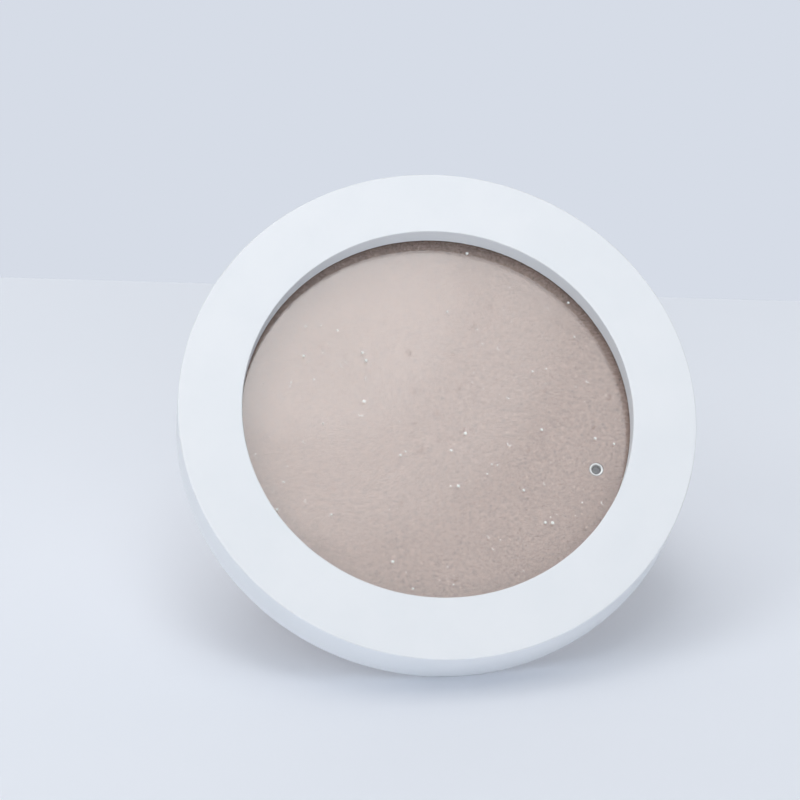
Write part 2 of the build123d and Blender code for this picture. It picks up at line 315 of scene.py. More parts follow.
def start_finish(name):
    """A new material, its tree, and the point's place on the object in metres."""
    material = bpy.data.materials.new(name)
    material.use_nodes = True
    tree = material.node_tree
    tree.nodes.clear()
    return material, tree, tree.nodes.new("ShaderNodeTexCoord").outputs["Object"]


def show(tree, kind="ShaderNodeBsdfPrincipled", **sockets):
    """Adds a shader and sends it to the material's output."""
    shader = add_node(tree, kind, **sockets)
    tree.links.new(shader.outputs[0], tree.nodes.new("ShaderNodeOutputMaterial").inputs[0])


def blend_colours(tree, mask, first, second):
    """Colour that goes from the first to the second with a mask."""
    mix = add_node(tree, "ShaderNodeMix", {"data_type": "RGBA"}, s0=mask, s6=first, s7=second)
    return mix.outputs[2]


def ranged(tree, value, low, high, to_low=0.0, to_high=1.0):
    """A value moved from one range to another, and kept inside it."""
    move = add_node(tree, "ShaderNodeMapRange", s0=value, s1=low, s2=high, s3=to_low, s4=to_high)
    return move.outputs[0]


def calculate(tree, operation, first, second):
    """One calculation on two values."""
    return add_node(tree, "ShaderNodeMath", {"operation": operation}, s0=first, s1=second).outputs[0]


def start_group(name, values, put_out):
    """An empty node group that takes a Place and named values, and puts out one value."""
    group = bpy.data.node_groups.new(name, "ShaderNodeTree")
    group.interface.new_socket("Place", in_out="INPUT", socket_type="NodeSocketVector")
    for label in values:
        group.interface.new_socket(label, in_out="INPUT", socket_type="NodeSocketFloat")
    group.interface.new_socket(put_out, in_out="OUTPUT", socket_type="NodeSocketFloat")
    return group, group.nodes.new("NodeGroupInput").outputs, group.nodes.new("NodeGroupOutput").inputs


def use_group(tree, group, **sockets):
    """Places a node group in a tree with its own values, and gives what it puts out."""
    return add_node(tree, "ShaderNodeGroup", {"node_tree": group}, **sockets).outputs[0]


def carried_value(tree, name):
    """A value that the mesh carries on its points or faces."""
    return add_node(tree, "ShaderNodeAttribute", {"attribute_name": name}).outputs["Fac"]


print("finish helpers are ready")

# %% [markdown]
# ## Three effects that several finishes share
#
# Fine grain is layered noise: it makes paint slightly dimpled, board slightly blotchy and steel slightly
# uneven. Flecks are the small separate specks of pressed fibre, dust under paint or blisters in plastic.
# Each cell of a Voronoi pattern gets a random colour, and only a chosen share of cells shows a fleck
# near its middle. The pattern counts distance in cells, so a fleck's width is turned from metres into
# cells first. Edge wear reads the value that the outlines carry, broken up by noise so that it never
# looks drawn.

# %% Build the shared node groups
fine_grain, given, result = start_group("fine_grain", ("Size", "Layers"), "Height")
per_metre = calculate(fine_grain, "DIVIDE", 1.0, given["Size"])
noise = add_node(fine_grain, "ShaderNodeTexNoise", Vector=given["Place"], Scale=per_metre,
                 Detail=given["Layers"], Roughness=0.55)
fine_grain.links.new(noise.outputs[0], result["Height"])


def fleck_group(name, dimensions):
    """Separate round flecks, through a solid (3D) or over a flat place's x and y (2D)."""
    group, given, result = start_group(name, ("Spacing", "Share", "Width"), "Mask")
    per_metre = calculate(group, "DIVIDE", 1.0, given["Spacing"])
    cells = add_node(group, "ShaderNodeTexVoronoi", {"feature": "F1", "voronoi_dimensions": dimensions},
                     Vector=given["Place"], Scale=per_metre, Randomness=1.0)
    parts = add_node(group, "ShaderNodeSeparateColor", s0=cells.outputs["Color"])
    chosen = calculate(group, "LESS_THAN", parts.outputs[0], given["Share"])
    width_in_cells = calculate(group, "MULTIPLY", given["Width"], per_metre)
    radius = calculate(group, "MULTIPLY", width_in_cells, calculate(group, "ADD", parts.outputs[1], 0.35))
    inner = calculate(group, "MULTIPLY", radius, 0.55)
    near = add_node(group, "ShaderNodeMapRange", {"interpolation_type": "SMOOTHSTEP"},
                    s0=cells.outputs["Distance"], s1=inner, s2=radius, s3=1.0, s4=0.0)
    group.links.new(calculate(group, "MULTIPLY", near.outputs[0], chosen), result["Mask"])
    return group


flecks = fleck_group("flecks", "3D")
flat_flecks = fleck_group("flat_flecks", "2D")

edge_wear, given, result = start_group("edge_wear", ("Patch",), "Mask")
patches = add_node(edge_wear, "ShaderNodeTexNoise", Vector=given["Place"], Detail=4.0,
                   Scale=calculate(edge_wear, "DIVIDE", 1.0, given["Patch"]))
broken = ranged(edge_wear, patches.outputs[0], 0.42, 0.68)
worn_edge = calculate(edge_wear, "MULTIPLY", carried_value(edge_wear, "edge"), broken)
edge_wear.links.new(worn_edge, result["Mask"])
print("shared groups:", [group.name for group in bpy.data.node_groups])

# %% [markdown]
# ## Satin white paint
#
# Sprayed paint on fibreboard is a cool white with a soft sheen. Close up it has the faint dimples of a
# spray gun, a few caught dust nibs, and it thins a little along the edges, where the board's warmer
# tone starts to come through. It doesn't reach deep corners, where the bare board shows; there the
# colour is painted near black, as painted shade. The dimples go into the bump, and the rest into colour
# and roughness.

# %% Mix the white paint
paint_tones = (0.815, 0.843, 0.875, 1), (0.84, 0.863, 0.893, 1)
nib_grey = (0.60, 0.60, 0.60, 1)
thin_paint = (0.62, 0.60, 0.57, 1)
# bare wood darkened to near black: painted shade in the lip's back corner
bare_wood_and_shade = (0.06, 0.04, 0.032, 1)


def white_paint():
    """Cool satin white: dimples, faint blotches, dust nibs, thin paint at edges, none in hollows."""
    # the bare board in hollows is coloured near black as painted shade
    material, tree, place = start_finish("white_paint")
    blotch = use_group(tree, fine_grain, Place=place, Size=26 * mm, Layers=3.0)
    dimples = use_group(tree, fine_grain, Place=place, Size=1.3 * mm, Layers=2.0)
    nibs = use_group(tree, flecks, Place=place, Spacing=5.5 * mm, Share=0.14, Width=0.32 * mm)
    thin = use_group(tree, edge_wear, Place=place, Patch=7 * mm)
    even = blend_colours(tree, ranged(tree, blotch, 0.35, 0.65), *paint_tones)
    nibbed = blend_colours(tree, calculate(tree, "MULTIPLY", nibs, 0.25), even, nib_grey)
    worn = blend_colours(tree, calculate(tree, "MULTIPLY", thin, 0.35), nibbed, thin_paint)
    ragged = use_group(tree, fine_grain, Place=place, Size=1.6 * mm, Layers=3.0)
    # mask of the lip's back corner: bare board painted near black, as painted shade
    bare_and_shaded = calculate(tree, "MULTIPLY", carried_value(tree, "painted_shade"), ragged)
    colour = blend_colours(tree, ranged(tree, bare_and_shaded, 0.2, 0.3), worn, bare_wood_and_shade)
    height = calculate(tree, "ADD", dimples, nibs)
    bump = add_node(tree, "ShaderNodeBump", Strength=0.5, Distance=0.016 * mm, Height=height)
    show(tree, Base_Color=colour, IOR=1.47, Roughness=ranged(tree, dimples, 0.3, 0.7, 0.38, 0.5),
         Normal=bump.outputs[0])
    return material


paint = white_paint()
print("mixed", paint.name)

# %% [markdown]
# ## The ring
#
# The ring is one turned section: a flat face, a plain outer wall, a lip over the sheet, a rebate for the
# sheet and the board, a ledge that takes the screws, and a recess behind. Its corners in the photograph
# are crisp but not sharp. Spinning a rounded outline gives all of it at once. The back outer edge is
# rounded just so far that the leaning ring still touches the table. The paint stops raggedly short of
# the lip's back corner, where a thin dark line shows above the sheet: bare board, and the shade of the
# gap under the lip. The points there are marked for painted shade, which colours that corner near black.
# The solid's circle has many short sides, and the true circle is drawn in by a hair to stay inside its
# box.

# %% Turn the ring
hair = 0.04 * mm
sight_round, outer_round = 0.35 * mm, 0.45 * mm
recess_round, ledge_round, rebate_round = 0.3 * mm, 0.2 * mm, 0.15 * mm
bare_corner = 0.3 * mm
paint_begins = 0.75 * mm
outer_radius = ring_radius - hair
lowest = to_table([[0, -outer_radius, ring_back]])[0, 2]
back_round = -lowest / (up_the_face[2] + ring_axis[2] - 1)
outline, edge = rounded([
    (sight_radius, 0, sight_round),
    (outer_radius, 0, outer_round),
    (outer_radius, ring_back, back_round),
    (recess_radius, ring_back, recess_round),
    (recess_radius, board_back, ledge_round),
    (rebate_radius, board_back, rebate_round),
    (rebate_radius, lip_back, rebate_round),
    (sight_radius, lip_back, bare_corner),
])
print("back edge rounded, mm:", round(back_round / mm, 3))
# points round the lip's back corner get painted shade: the paint stops there and the colour goes near
# black
from_corner = outline - [sight_radius, lip_back]
bare_and_shaded = (from_corner.max(axis=1) < bare_corner + tight) * 1.0
outline[-2, 1] = lip_back + paint_begins
mesh = mesh_from_grids("painted_ring", [to_table(lathe(outline, segments=360))], edge, painted_shade=bare_and_shaded)
add_piece(mesh, paint, "frame", "white_paint", "frame_ring")

# %% [markdown]
# ## The clear sheet
#
# The sheet is 2 mm clear plastic. It reflects the soft light overhead as a pale veil over the board, and
# it isn't quite flat: tiny blisters and dents turn that reflection away in small arcs. A lamp's light has
# to reach the board through it, so rays that look for a lamp meet a plain transparent shader instead
# of a refracting one.

# %% Cast the clear sheet
clear_tint = (0.985, 0.99, 0.99, 1)
shadow_tint = (0.96, 0.965, 0.965, 1)


def clear_sheet():
    """Clear plastic with small blisters in its surface, which lets the lamps' light through."""
    material, tree, place = start_finish("clear_sheet")
    flat_place = add_node(tree, "ShaderNodeMapping", Vector=place,
                          Rotation=(-math.acos(ring_axis[2]), 0, 0)).outputs[0]
    blisters = use_group(tree, flat_flecks, Place=flat_place, Spacing=7.5 * mm, Share=0.14, Width=1 * mm)
    ripple = use_group(tree, fine_grain, Place=flat_place, Size=14 * mm, Layers=1.0)
    height = calculate(tree, "ADD", blisters, calculate(tree, "MULTIPLY", ripple, 0.3))
    bump = add_node(tree, "ShaderNodeBump", Strength=1.0, Distance=0.03 * mm, Height=height)
    clear = add_node(tree, "ShaderNodeBsdfPrincipled", Base_Color=clear_tint, IOR=1.49, Roughness=0.07,
                     Transmission_Weight=1.0, Normal=bump.outputs[0])
    passing = add_node(tree, "ShaderNodeBsdfTransparent", Color=shadow_tint)
    to_lamp = tree.nodes.new("ShaderNodeLightPath").outputs["Is Shadow Ray"]
    show(tree, "ShaderNodeMixShader", s0=to_lamp, s1=clear.outputs[0], s2=passing.outputs[0])
    return material


cut_bevel = 0.2 * mm
air_gap = 0.02 * mm
sheet_outline = [
    (0, lip_back),
    (sheet_radius - cut_bevel, lip_back),
    (sheet_radius, lip_back - cut_bevel),
    (sheet_radius, sheet_back + cut_bevel),
    (sheet_radius - cut_bevel, sheet_back + air_gap),
    (0, sheet_back + air_gap),
]
mesh = mesh_from_grids("clear_round", [to_table(lathe(sheet_outline, segments=240))], smooth=False)
add_piece(mesh, clear_sheet(), "frame", "clear_sheet", "glazing_sheet")

# %% [markdown]
# ## Bare fibreboard
#
# The board behind the sheet and the leg are pressed wood fibre, sanded but not painted. From a step away
# it is one reddish brown; closer, it breaks up into pale and dark flecks and short fibres lying every
# way. Noise stretched three different ways gives the fibres, a finer one dark speckles between them, and
# two sizes of flecks the rest. Sawn edges are darker, and the leg's mesh carries where they are.

# %% Press the fibreboard
board_tones = (0.280, 0.183, 0.148, 1), (0.322, 0.217, 0.179, 1)
dark_speckle, dark_fleck = (0.13, 0.085, 0.065, 1), (0.12, 0.085, 0.07, 1)
pale_fibre, pale_fleck = (0.56, 0.41, 0.34, 1), (0.72, 0.58, 0.48, 1)
sawn_brown = (0.13, 0.088, 0.07, 1)
fibre_turns = (0.4, 1.5, 2.6)
fibre_stretch = (1.0, 2.2, 2.2)


def fibreboard():
    """Reddish-brown pressed fibre: blotches, fibres, speckles, and pale and dark flecks."""
    material, tree, place = start_finish("fibreboard")
    blotch = use_group(tree, fine_grain, Place=place, Size=20 * mm, Layers=4.0)
    grain = use_group(tree, fine_grain, Place=place, Size=0.9 * mm, Layers=5.0)
    fibres = grain
    for turn in fibre_turns:
        turned = add_node(tree, "ShaderNodeMapping", Vector=place, Scale=fibre_stretch,
                          Rotation=(turn, 0.7 * turn, 1.9 * turn))
        strand = use_group(tree, fine_grain, Place=turned.outputs[0], Size=1.4 * mm, Layers=2.0)
        fibres = calculate(tree, "ADD", fibres, strand)
    speckle = use_group(tree, fine_grain, Place=place, Size=0.8 * mm, Layers=2.0)
    dark = use_group(tree, flecks, Place=place, Spacing=1.3 * mm, Share=0.6, Width=0.34 * mm)
    pale = use_group(tree, flecks, Place=place, Spacing=1.7 * mm, Share=0.5, Width=0.34 * mm)
    sawn_tone = ranged(tree, strand, 0.3, 0.7, 0.45, 0.8)
    sawn = calculate(tree, "MULTIPLY", carried_value(tree, "sawn"), sawn_tone)
    colour = blend_colours(tree, ranged(tree, blotch, 0.35, 0.65), *board_tones)
    for mask, tone in ((ranged(tree, speckle, 0.38, 0.62, 0.72, 0.0), dark_speckle),
                       (ranged(tree, fibres, 1.6, 2.4, 0.1, 0.66), pale_fibre),
                       (calculate(tree, "MULTIPLY", dark, 0.75), dark_fleck),
                       (calculate(tree, "MULTIPLY", pale, 0.55), pale_fleck),
                       (sawn, sawn_brown)):
        colour = blend_colours(tree, mask, colour, tone)
    bump = add_node(tree, "ShaderNodeBump", Strength=0.6, Distance=0.05 * mm, Height=fibres)
    show(tree, Base_Color=colour, IOR=1.4, Roughness=ranged(tree, grain, 0.3, 0.7, 0.68, 0.85),
         Normal=bump.outputs[0])
    return material


board_finish = fibreboard()
for material_slot in frame["nodes"]["backing_board"].material_slots:
    material_slot.material = board_finish
print("backing_board keeps its mesh and takes", board_finish.name)

# %% [markdown]
# ## Metal finishes
#
# The stamped parts are zinc plated: a slightly blue grey with soft cloudy patches and the fine lines of
# rolled strip. The rivets, the wire, the screws and the pin are nickel, smoother and a little warmer.
# Inside a rivet's hollow the colour is painted dark as shade, and round the outer side of its ring as a
# painted shadow; the metal is rougher there too. Both metals come from one function with different
# values.

# %% Plate the metal
rubbed_bright = (0.9, 0.9, 0.9, 1)
# near black: painted shade down a rivet's bore and painted shadow round its roll
painted_bore_shade = (0.095, 0.1, 0.105, 1)


def plated_metal(name, light, shade, roughness, stretch):
    """Metal whose colour drifts between two tones, with fine lines along one way and faint clouds."""
    material, tree, place = start_finish(name)
    clouds = use_group(tree, fine_grain, Place=place, Size=4 * mm, Layers=3.0)
    lined = add_node(tree, "ShaderNodeMapping", Vector=place, Scale=(1.0, stretch, stretch))
    lines = use_group(tree, fine_grain, Place=lined.outputs[0], Size=3 * mm, Layers=3.0)
    thin = use_group(tree, edge_wear, Place=place, Patch=2 * mm)
    tone = blend_colours(tree, ranged(tree, clouds, 0.35, 0.65), shade, light)
    rubbed = blend_colours(tree, calculate(tree, "MULTIPLY", thin, 0.3), tone, rubbed_bright)
    painted_shade = carried_value(tree, "painted_shade")
    # painted shade: the colour goes near black where the mesh marks a rivet's bore and the rim of its
    # roll
    colour = blend_colours(tree, painted_shade, rubbed, painted_bore_shade)
    uneven = calculate(tree, "ADD", calculate(tree, "ADD", clouds, lines), painted_shade)
    rough = ranged(tree, uneven, 0.6, 2.2, roughness * 0.8, roughness * 2)
    bump = add_node(tree, "ShaderNodeBump", Strength=0.4, Distance=0.01 * mm, Height=lines)
    show(tree, Base_Color=colour, Metallic=1.0, Roughness=rough, Normal=bump.outputs[0])
    return material


zinc = plated_metal("zinc_plate", light=(0.74, 0.75, 0.78, 1), shade=(0.62, 0.64, 0.68, 1),
                    roughness=0.34, stretch=14.0)
nickel = plated_metal("nickel", light=(0.72, 0.71, 0.69, 1), shade=(0.60, 0.595, 0.58, 1),
                      roughness=0.3, stretch=3.0)
print("plated:", zinc.name, nickel.name)

# %% [markdown]
# ## Rivets
#
# A tubular rivet is one small turned shell. It has a low domed head on one side, and on the other the
# open end of its tube is rolled outwards into a ring, whose round section catches the light. The hanger's
# rivet is the one bright ring in the photograph, low on the right of the board. The same outline, spun
# about three axes, makes it and the two in the leg.

# %% Find where the leg and its rivets lie
hinge_place = np.array(joints["leg_fold"]["pos_m"])
open_degrees = -joints["leg_fold"]["range_deg"][0]
opened = Matrix.Rotation(math.radians(open_degrees), 3, Vector(across))
leg_face = np.array(opened @ Vector(ring_axis))
leg_axes = np.column_stack([across, np.cross(leg_face, across), leg_face])
leg_rivet_points = (node_points("leg_rivets") - hinge_place) @ leg_axes
print("the leg opens", open_degrees, "degrees; its face looks along", np.round(leg_face, 3))

# %% Roll the rivets
roll_radius = 2.48 * mm
bore_radius = 1.62 * mm
shank_radius = 2.0 * mm
roll_height = 0.8 * mm
roll_round, roll_foot_round = 0.4 * mm, 0.15 * mm
# how far in from the roll's outer side the painted shadow reaches
rim_shade_width = 0.3 * mm
bore_depth, bore_cone, bore_foot_round = 2.0 * mm, 0.4 * mm, 0.5 * mm
bore_shade = 0.6 * mm
head_rim, head_height, head_round = 0.3 * mm, 0.9 * mm, 1.2 * mm
burr, soft_burr = 0.05 * mm, 0.1 * mm


def rivet_grid(points):
    """A rivet in the coordinates of its given CAD points, where z runs along its axis up to its roll.

    The roll is a strip of metal from the bore to the roll's radius with both shoulders rounded off, and
    the head is a rim with a wide round between it and its flat. Down the bore, and in a narrow band round
    the roll's outer side, the value of painted shade rises smoothly: painted shade in the bore and a
    painted shadow round the ring.
    """
    low, high = points.min(axis=0), points.max(axis=0)
    head_radius = (high[0] - low[0]) / 2
    outline, edge = open_outline([
        (0, high[2] - bore_depth - bore_cone, 0),
        (bore_radius, high[2] - bore_depth, bore_foot_round),
        (bore_radius, high[2], roll_round),
        (roll_radius, high[2], roll_round),
        (roll_radius, high[2] - roll_height, roll_foot_round),
        (shank_radius, high[2] - roll_height, 0),
        (shank_radius, low[2] + head_height, 0),
        (head_radius, low[2] + head_height, burr),
        (head_radius, low[2] + head_height - head_rim, soft_burr),
        (bore_radius, low[2], head_round),
        (0, low[2], 0),
    ])
    inside = (outline[:, 0] < bore_radius * 1.01) & (outline[:, 1] > low[2] + head_height)
    # painted shade down the bore, darker the deeper
    painted_shade = inside * smooth_step((high[2] - outline[:, 1]) / bore_shade)
    on_roll = outline[:, 1] > high[2] - roll_height - tight
    # painted shadow round the roll's outer side
    outer_side = on_roll * smooth_step(2 + 2 * (outline[:, 0] - roll_radius) / rim_shade_width)
    painted_shade = np.maximum(painted_shade, 0.7 * outer_side)
    place = [(low[0] + high[0]) / 2, (low[1] + high[1]) / 2, 0]
    return lathe(outline, segments=72) + place, edge, painted_shade


grid, edge, painted_shade = rivet_grid(to_flat(node_points("hanger_rivet")))
mesh = mesh_from_grids("rolled_rivet", [to_table(grid)], edge, painted_shade=painted_shade)
add_piece(mesh, nickel, "frame", "nickel_wire", "hanger_rivet")
sides = [leg_rivet_points[leg_rivet_points[:, 0] * side > 0] for side in (-1, 1)]
grids = [put(rivet_grid(points)[0], hinge_place, leg_axes) for points in sides]
mesh = mesh_from_grids("rolled_leg_rivets", grids, edge, painted_shade=painted_shade)
add_piece(mesh, nickel, "leg", "nickel_wire", "leg_rivets")

# %% [markdown]
# ## The hinge pin
#
# The pin is a short rod with a small head at each end, turned about the hinge's axis. It could be three
# cylinders, but one outline keeps the necks clean.

# %% Turn the hinge pin
pin_points = node_points("hinge_pin") - hinge_place
pin_half = pin_points[:, 0].max()
pin_head_radius = pin_points[:, 2].max()
pin_head_height, pin_head_round = 0.5 * mm, 0.3 * mm
pin_radius = 0.7 * mm
pin_end = [
    (0, pin_half, 0),
    (pin_head_radius, pin_half, pin_head_round),
    (pin_head_radius, pin_half - pin_head_height, burr),
    (pin_radius, pin_half - pin_head_height, 0),
]
other_end = [(radius, -height, rounding) for radius, height, rounding in reversed(pin_end)]
outline, edge = open_outline(pin_end + other_end)
pin_axes = np.column_stack([[0, 1, 0], [0, 0, 1], across])
mesh = mesh_from_grids("headed_pin", [put(lathe(outline, segments=48), hinge_place, pin_axes)], edge)
add_piece(mesh, nickel, "frame", "nickel_wire", "hinge_pin")

# %% [markdown]
# ## Screws with a cross in their heads
#
# Each turn button pivots on a pan-headed screw. Its cross could be cut with a boolean, but on a spun grid
# it is simpler to push the points down: the deeper, the nearer the middle, and only where a point lies
# within one of the cross's two bars.

# %% Turn the screws and press their crosses
screw_radius = 1.2 * mm
screw_head_radius = 2.3 * mm
screw_head_height = 1.3 * mm
screw_point = 1.2 * mm
screw_crown_round = 0.75 * mm
crown_columns = 26
cross_half_width, cross_wall = 0.3 * mm, 0.09 * mm
cross_reach = 1.35 * mm
cross_depth, cross_floor = 0.95 * mm, 0.55 * mm
cross_turns = {"upper_right": 0.3, "upper_left": 1.1, "lower_left": 0.8, "lower_right": 0.1}


def screw_grid(length):
    """A screw with its head's top at z = 0, and a cross pressed into it.

    A point's distance from the nearer bar's middle line, taken against the bar's half width, says how far
    it lies inside the bar. Its depth rises from the cross's reach towards the middle, steeply down to the
    floor and gently from there on.
    """
    outline, _ = open_outline([
        (0, 0, 0),
        (screw_head_radius, 0, screw_crown_round),
        (screw_head_radius, -screw_head_height, soft_burr),
        (screw_radius, -screw_head_height, 0),
        (screw_radius, screw_point - length, 0),
        (0, -length, 0),
    ])
    crown = np.linspace(0, screw_head_radius - screw_crown_round, crown_columns)
    side = outline[outline[:, 0] > crown[-1]][:-1]
    tip = [(screw_radius, screw_point - length), (0, -length)]
    grid = lathe(np.concatenate([np.column_stack([crown, 0 * crown]), side, tip]), segments=120)
    aside, ahead = abs(grid[..., 0]), abs(grid[..., 1])
    inside = smooth_step((cross_half_width - np.minimum(aside, ahead)) / cross_wall + 0.5)
    deep = cross_depth * np.clip(1 - np.hypot(aside, ahead) / cross_reach, 0, 1)
    on_head = grid[..., 2] > -screw_crown_round / 2
    grid[..., 2] -= np.where(on_head, inside * np.minimum(2.5 * deep, cross_floor + 0.5 * deep), 0)
    return grid


screw_points = to_flat(node_points("button_screws"))
screw_top, screw_tip = screw_points[:, 2].min(), screw_points[:, 2].max()
pivots = {name: to_flat(joints[name + "_turn"]["pos_m"]) for name in cross_turns}
grids = []
for name, turn in cross_turns.items():
    sin_turn, cos_turn = math.sin(turn), math.cos(turn)
    own = np.column_stack([[cos_turn, sin_turn, 0], [sin_turn, -cos_turn, 0], [0, 0, -1]])
    grids.append(to_table(put(screw_grid(screw_tip - screw_top), [*pivots[name][:2], screw_top], own)))
add_piece(mesh_from_grids("cross_screws", grids), nickel, "frame", "screw_steel", "button_screws")

# %% [markdown]
# ## Turn buttons
#
# A turn button is a blade stamped from 1 mm steel, with rounded ends, soft rims and a pressed rib that
# the thumb pushes. Rows of the grid run from the pivot's hole out to the blade's outline, and the heights
# are a formula of the place: flat, with a smooth ridge within the rib's reach.

# %% Stamp the turn buttons
blade_width = 8.0 * mm
blade_reach = 8.0 * mm
blade_thickness = 1.0 * mm
hole_radius = 1.3 * mm
rim_round, under_bevel = 0.3 * mm, 0.1 * mm
side_share = 0.55
over_columns = 44
rib_from, rib_to = 4.3 * mm, 8.5 * mm
rib_half_width = 0.95 * mm
rib_height, rib_steepness = 0.5 * mm, 1.4


def blade_grid():
    """A blade pointing along -x from its pivot, its back at z = 0 and its ridge above it.

    Every point of the outline is the middle line's nearest point plus half the width outwards, and the
    straight sides take the directions whose cosine is within side_share / 2. A row goes over the top
    from the hole to the rim, round the rim as a quarter circle, down, and back beneath.
    """
    angle = np.linspace(0, 2 * math.pi, 160, endpoint=False)
    outwards = np.column_stack([np.cos(angle), np.sin(angle)])
    stretch = smooth_step(0.5 - outwards[:, 0] / side_share) * -blade_reach
    middle_line = np.column_stack([stretch, 0 * stretch])
    over = np.linspace(0, 1, over_columns)
    bend = np.linspace(0, math.pi / 2, 5)[1:]
    inset = np.concatenate([0 * over + rim_round, rim_round * (1 - np.sin(bend)), [0, under_bevel, 0]])
    height = np.concatenate([0 * over, rim_round * (np.cos(bend) - 1),
                             [under_bevel - blade_thickness, -blade_thickness, -blade_thickness]])
    share = np.concatenate([over, np.ones(len(bend) + 2), [0]])
    rim = middle_line[:, None] + outwards[:, None] * (blade_width / 2 - inset[None, :, None])
    hole = outwards[:, None] * hole_radius + 0 * rim
    flat = hole + (rim - hole) * share[None, :, None]
    along = np.clip(-flat[..., 0], rib_from, rib_to)
    away = np.hypot(flat[..., 0] + along, flat[..., 1]) / rib_half_width
    ridge = np.where(height == 0, rib_height * smooth_step((1 - away) * rib_steepness), 0)
    closed = np.concatenate([flat, flat[:, :1]], axis=1)
    levels = np.concatenate([height + ridge, ridge[:, :1]], axis=1)
    return np.concatenate([closed, levels[..., None]], axis=2)


for name, pivot in pivots.items():
    blade = to_flat(node_points("turn_button_" + name))
    outward = unit(pivot[:2])
    own = np.column_stack([[*outward, 0], [outward[1], -outward[0], 0], [0, 0, -1]])
    back_face = blade[:, 2].min() + rib_height
    grid = to_table(put(blade_grid(), [*pivot[:2], back_face], own))
    mesh = mesh_from_grids("stamped_button_" + name, [grid])
    add_piece(mesh, zinc, "button_" + name, "plated_steel", "turn_button_" + name)

# %% [markdown]
# ## The wire triangle
#
# The hanger's loop is a piece of 1.4 mm wire bent into a triangle. A round section is carried along its
# centre line: three straight sides and three arcs. The arcs come from the same helper that rounds the
# turned outlines, because a bent wire and a rounded corner are the same shape.

# %% Bend the wire
wire_radius = 0.7 * mm
half_base, base_bend = 6.5 * mm, 1.2 * mm
triangle_reach, tip_bend = 11.5 * mm, 2.0 * mm
corners = [(0, -half_base, base_bend), (0, half_base, base_bend), (triangle_reach, 0, tip_bend)]


def wire_grid(path, radius, segments=20):
    """Carries a circle along a closed flat path: centre + radius (cos a outwards + sin a square to it).

    Outwards is the path's own direction turned a quarter, taken between a point's two neighbours.
    """
    ahead = np.roll(path, -1, axis=0) - np.roll(path, 1, axis=0)
    ahead /= np.linalg.norm(ahead, axis=1)[:, None]
    angle = np.linspace(0, 2 * math.pi, segments + 1)
    side = np.cos(angle)[None, :, None] * np.column_stack([ahead[:, 1], -ahead[:, 0]])[:, None]
    rise = np.broadcast_to(np.sin(angle), side.shape[:2])[..., None]
    return np.concatenate([path[:, None] + radius * side, radius * rise], axis=2)


loop_place = np.array(joints["triangle_swing"]["pos_m"])
loop_axis = unit(np.array(joints["triangle_swing"]["axis"]))
wire_points = node_points("hanger_triangle") - loop_place
hanging = wire_points[abs(wire_points @ wire_points.mean(axis=0)).argmax()]
hanging = unit(hanging - loop_axis * (hanging @ loop_axis))
triangle_axes = np.column_stack([hanging, loop_axis, np.cross(hanging, loop_axis)])
path, _ = rounded(corners, steps=10)
wire = put(wire_grid(path[:-1], wire_radius), loop_place, triangle_axes)
for label, points in (("solid", wire_points), ("wire", wire.reshape(-1, 3) - loop_place)):
    print("triangle's", label, "reaches, mm:", np.round((points @ triangle_axes).max(axis=0) / mm, 2))
mesh = mesh_from_grids("bent_triangle", [wire])
add_piece(mesh, nickel, "triangle", "nickel_wire", "hanger_triangle")

# %% [markdown]
# ## Folded strap and hinge leaves
#
# Sheet steel has no sharp edges once it has been tumbled and plated. The strap and the two leaves are
# already right in shape, so a copy of each solid is merged, its flat faces are joined up again, and its
# edges are rounded by a tenth of a millimetre. The new narrow faces carry the edge value for the wear,
# and a modifier shades the large faces flat right up to them.

# %% Soften copies of the stamped pieces
metal_softness = 0.1 * mm
still_flat = math.radians(0.5)
sharp_from = math.radians(35)


def soften_copy(name, node, width, steps, material, body, slot):
    """Adds a copy of a CAD node with its corners rounded, and edge = 1 on the new faces."""
    work = bmesh.new()
    work.from_mesh(frame["nodes"][node].data)
    layer = work.faces.layers.float.new("edge")
    bmesh.ops.remove_doubles(work, verts=work.verts, dist=1e-6)
    bmesh.ops.dissolve_limit(work, angle_limit=still_flat, verts=work.verts, edges=work.edges)
    corners = [line for line in work.edges if line.is_manifold and line.calc_face_angle(0) > sharp_from]
    made = bmesh.ops.bevel(work, geom=corners, offset=width, segments=steps, profile=0.5, affect="EDGES",
                           clamp_overlap=True)
    for face in made["faces"]:
        face[layer] = 1.0
    mesh = bpy.data.meshes.new(name)
    work.to_mesh(mesh)
    work.free()
    mesh.shade_smooth()
    mesh.materials.clear()
    piece = add_piece(mesh, material, body, slot, node)
    shading = piece.modifiers.new("even_shading", "WEIGHTED_NORMAL")
    shading.weight = 100
    shading.keep_sharp = True
    return mesh


for name, node, body in (("folded_strap", "hanger_strap", "frame"),
                         ("pressed_board_leaf", "hinge_board_leaf", "frame"),
                         ("curled_leg_leaf", "hinge_leg_leaf", "leg")):
    soften_copy(name, node, metal_softness, 2, zinc, body, "plated_steel")

# %% [markdown]
# ## The leg
#
# The leg is sawn from the same fibreboard as the back. Its faces are pressed smooth and its sawn edges
# are darker, so every face carries a value that the finish reads: from 0 where it looks the same way as
# the leg's front or back, to 1 where it looks sideways.

# %% Saw the leg
leg_softness = 0.25 * mm
leg_mesh = soften_copy("sanded_leg", "easel_leg", leg_softness, 3, board_finish, "leg", "leg_board")
sideways = smooth_step(1.4 - 1.6 * abs(read_rows(leg_mesh.polygons, "normal") @ leg_face))
leg_mesh.attributes.new("sawn", "FLOAT", "FACE").data.foreach_set("value", sideways)
print("sawn faces:", int((sideways > 0.5).sum()), "of", len(sideways))

